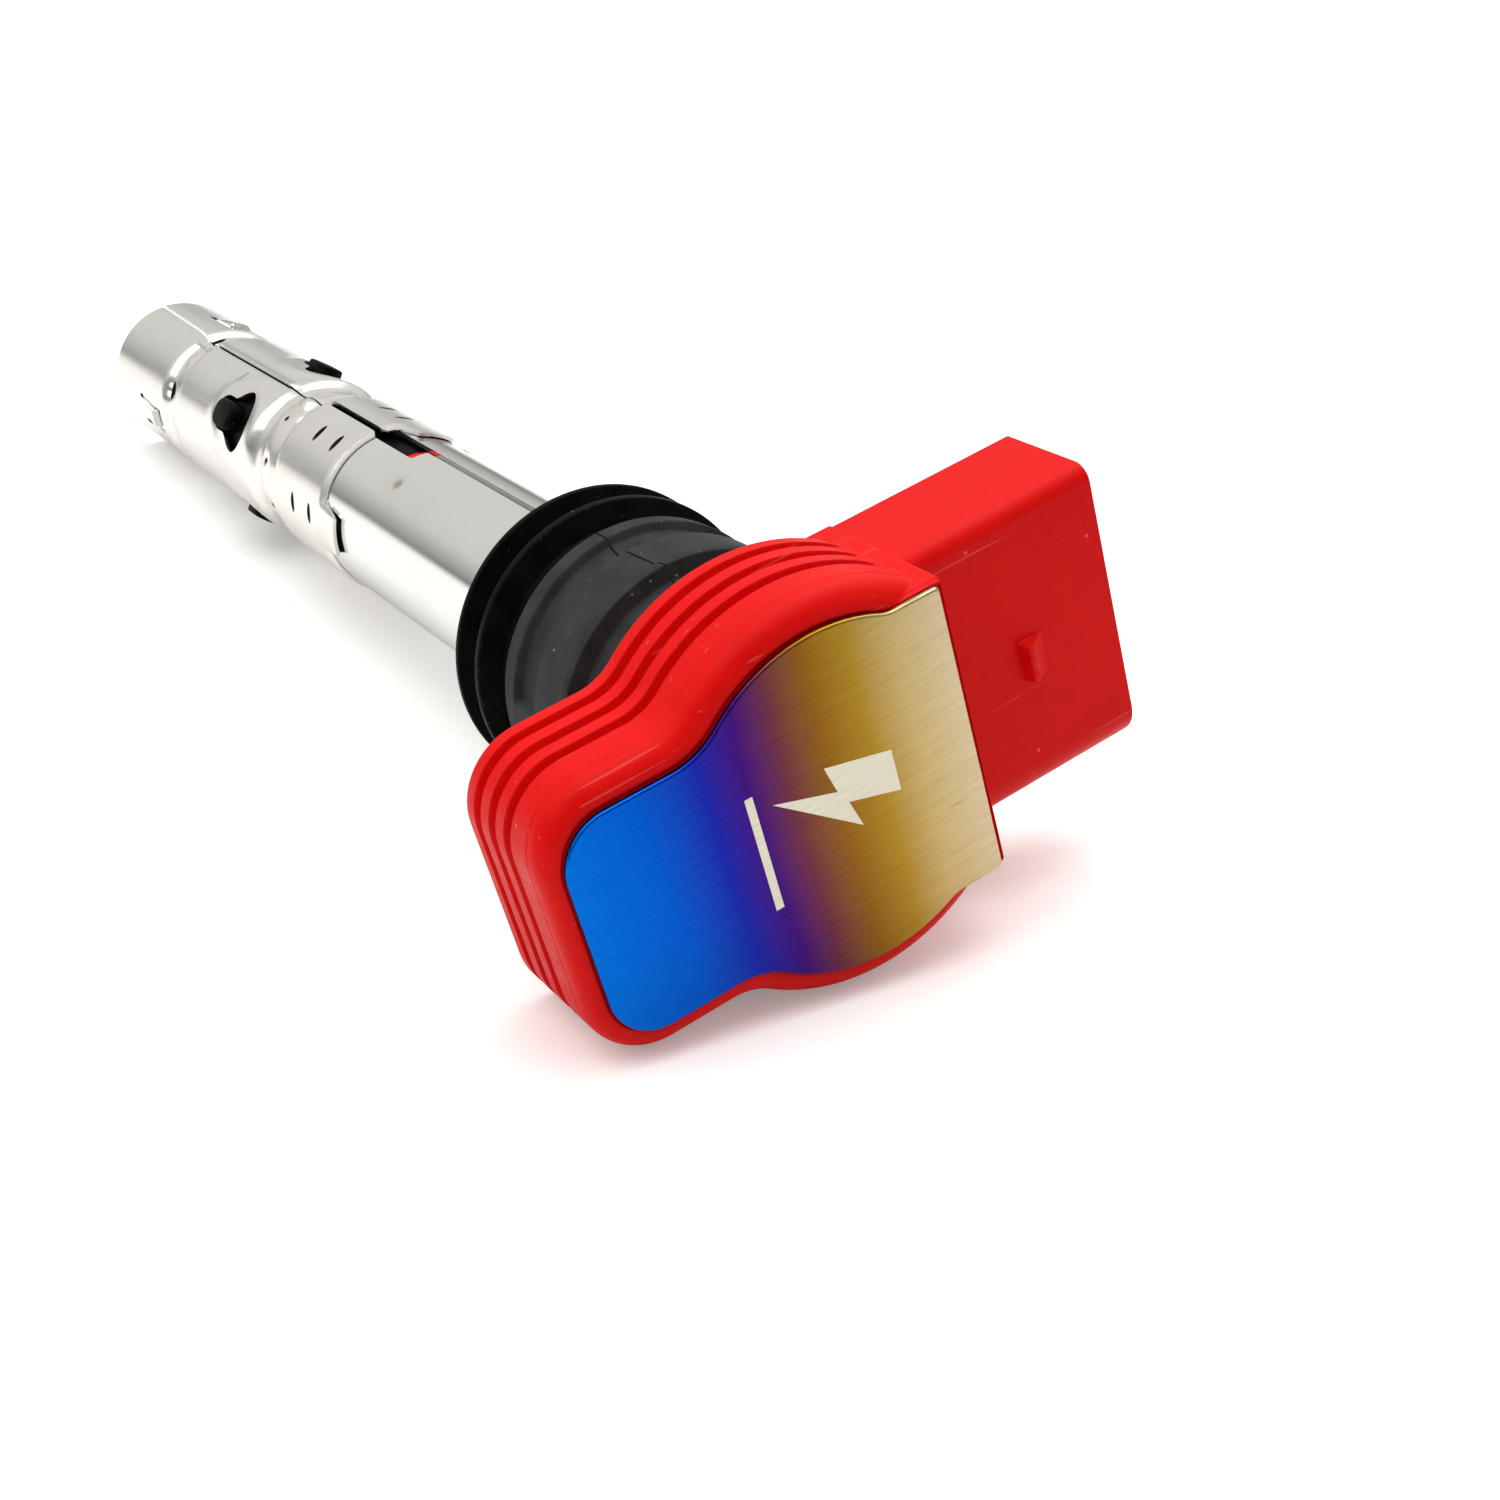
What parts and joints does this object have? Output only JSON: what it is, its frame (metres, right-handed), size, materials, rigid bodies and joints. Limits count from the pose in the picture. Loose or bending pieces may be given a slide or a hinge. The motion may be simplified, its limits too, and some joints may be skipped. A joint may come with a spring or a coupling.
{
  "type": "ignition coil",
  "caption": "Push-in pencil ignition coil: red ribbed head with connector and heat-tinted cover plate, rubber well seal, slit steel tube, boot and sprung contact.",
  "frame": {"origin": "on the coil axis, in the plug-side face of the well seal's lip", "axes": "+X along the coil axis out of the head's top, away from the spark plug; +Y out of the connector's mouth; +Z completes the frame, and Z = 0 is the plane of symmetry of the head without its connector"},
  "size_m": [0.1805, 0.0637, 0.0378],
  "materials": {
    "red_moulding": "satin glass-filled plastic",
    "film": "double-sided adhesive film",
    "tinted_titanium": "brushed titanium with blue, purple and gold heat tint",
    "resin": "cast epoxy",
    "black_moulding": "moulded epoxy",
    "aluminium_sheet": "mill",
    "tinned_copper": "tin plated",
    "copper": "bare",
    "seal_rubber": "satin silicone",
    "bright_steel": "bright rolled steel",
    "core_steel": "silicon steel",
    "bobbin_plastic": "glass-filled plastic",
    "enamelled_wire": "enamelled copper",
    "sleeve_film": "heat-shrink film",
    "magnet": "nickel plated",
    "brass": "turned",
    "ceramic": "fired ceramic",
    "spring_steel": "drawn stainless wire",
    "boot_rubber": "matt silicone",
    "pressed_stainless": "bright pressed stainless"
  },
  "bodies": {
    "root": {"head_housing": "red_moulding", "head_lid": "red_moulding", "plate_film": "film", "cover_plate": "tinted_titanium", "potting_resin": "resin", "igniter_module": "black_moulding", "heat_spreader": "aluminium_sheet", "lead_frame": "tinned_copper", "primary_lead_supply": "copper", "primary_lead_switched": "copper", "switch_on_diode": "black_moulding", "pin_carrier": "black_moulding", "connector_pin_1": "tinned_copper", "connector_pin_2": "tinned_copper", "connector_pin_3": "tinned_copper", "connector_pin_4": "tinned_copper", "well_seal": "seal_rubber", "shield_tube": "bright_steel", "return_core": "core_steel", "coil_case": "red_moulding", "primary_bobbin": "bobbin_plastic", "primary_winding": "enamelled_wire", "secondary_bobbin": "bobbin_plastic", "secondary_winding": "enamelled_wire", "core_rod": "core_steel", "core_sleeve": "sleeve_film", "upper_magnet": "magnet", "lower_magnet": "magnet", "upper_cushion": "boot_rubber", "lower_cushion": "boot_rubber", "hv_terminal": "brass", "suppression_resistor": "ceramic", "contact_spring": "spring_steel", "plug_boot": "boot_rubber", "contact_sleeve": "pressed_stainless"},
    "spring_tip": {"spring_end_turns": "spring_steel"}
  },
  "joints": [
    {"name": "contact_travel", "type": "slide", "parent": "root", "child": "spring_tip", "axis": [1, 0, 0], "range_m": [0, 0.005], "stiffness_N_per_m": 800, "deforming": ["contact_spring"]}
  ]
}
